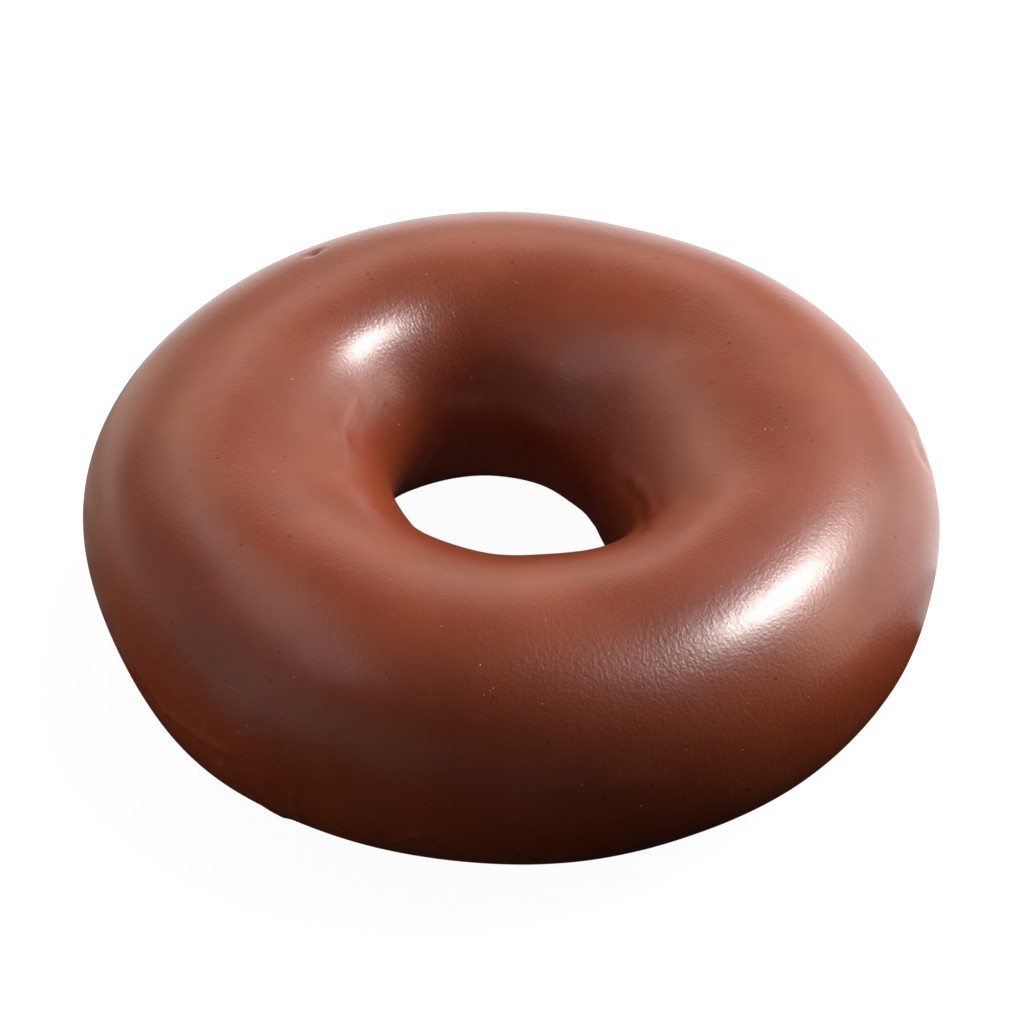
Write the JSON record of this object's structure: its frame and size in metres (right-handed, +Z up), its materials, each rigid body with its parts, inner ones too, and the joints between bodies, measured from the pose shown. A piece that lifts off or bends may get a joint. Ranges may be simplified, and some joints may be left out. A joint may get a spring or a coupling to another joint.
{
  "type": "glazed ring doughnut",
  "caption": "Round ring doughnut with a full, rounded crown, a through hole and a smooth mocha glaze over its whole surface, to eat by hand or show on a plate.",
  "frame": {"origin": "on the surface it rests on, under the middle of the doughnut's outline", "axes": "+Z up, -Y towards the viewer of the picture, +X to the viewer's right"},
  "size_m": [0.0912, 0.0894, 0.0289],
  "materials": {
    "mocha_glaze": "satin, with a fine leathery grain, soft sheen and white highlights"
  },
  "bodies": {
    "root": {"doughnut": "mocha_glaze"}
  },
  "joints": []
}
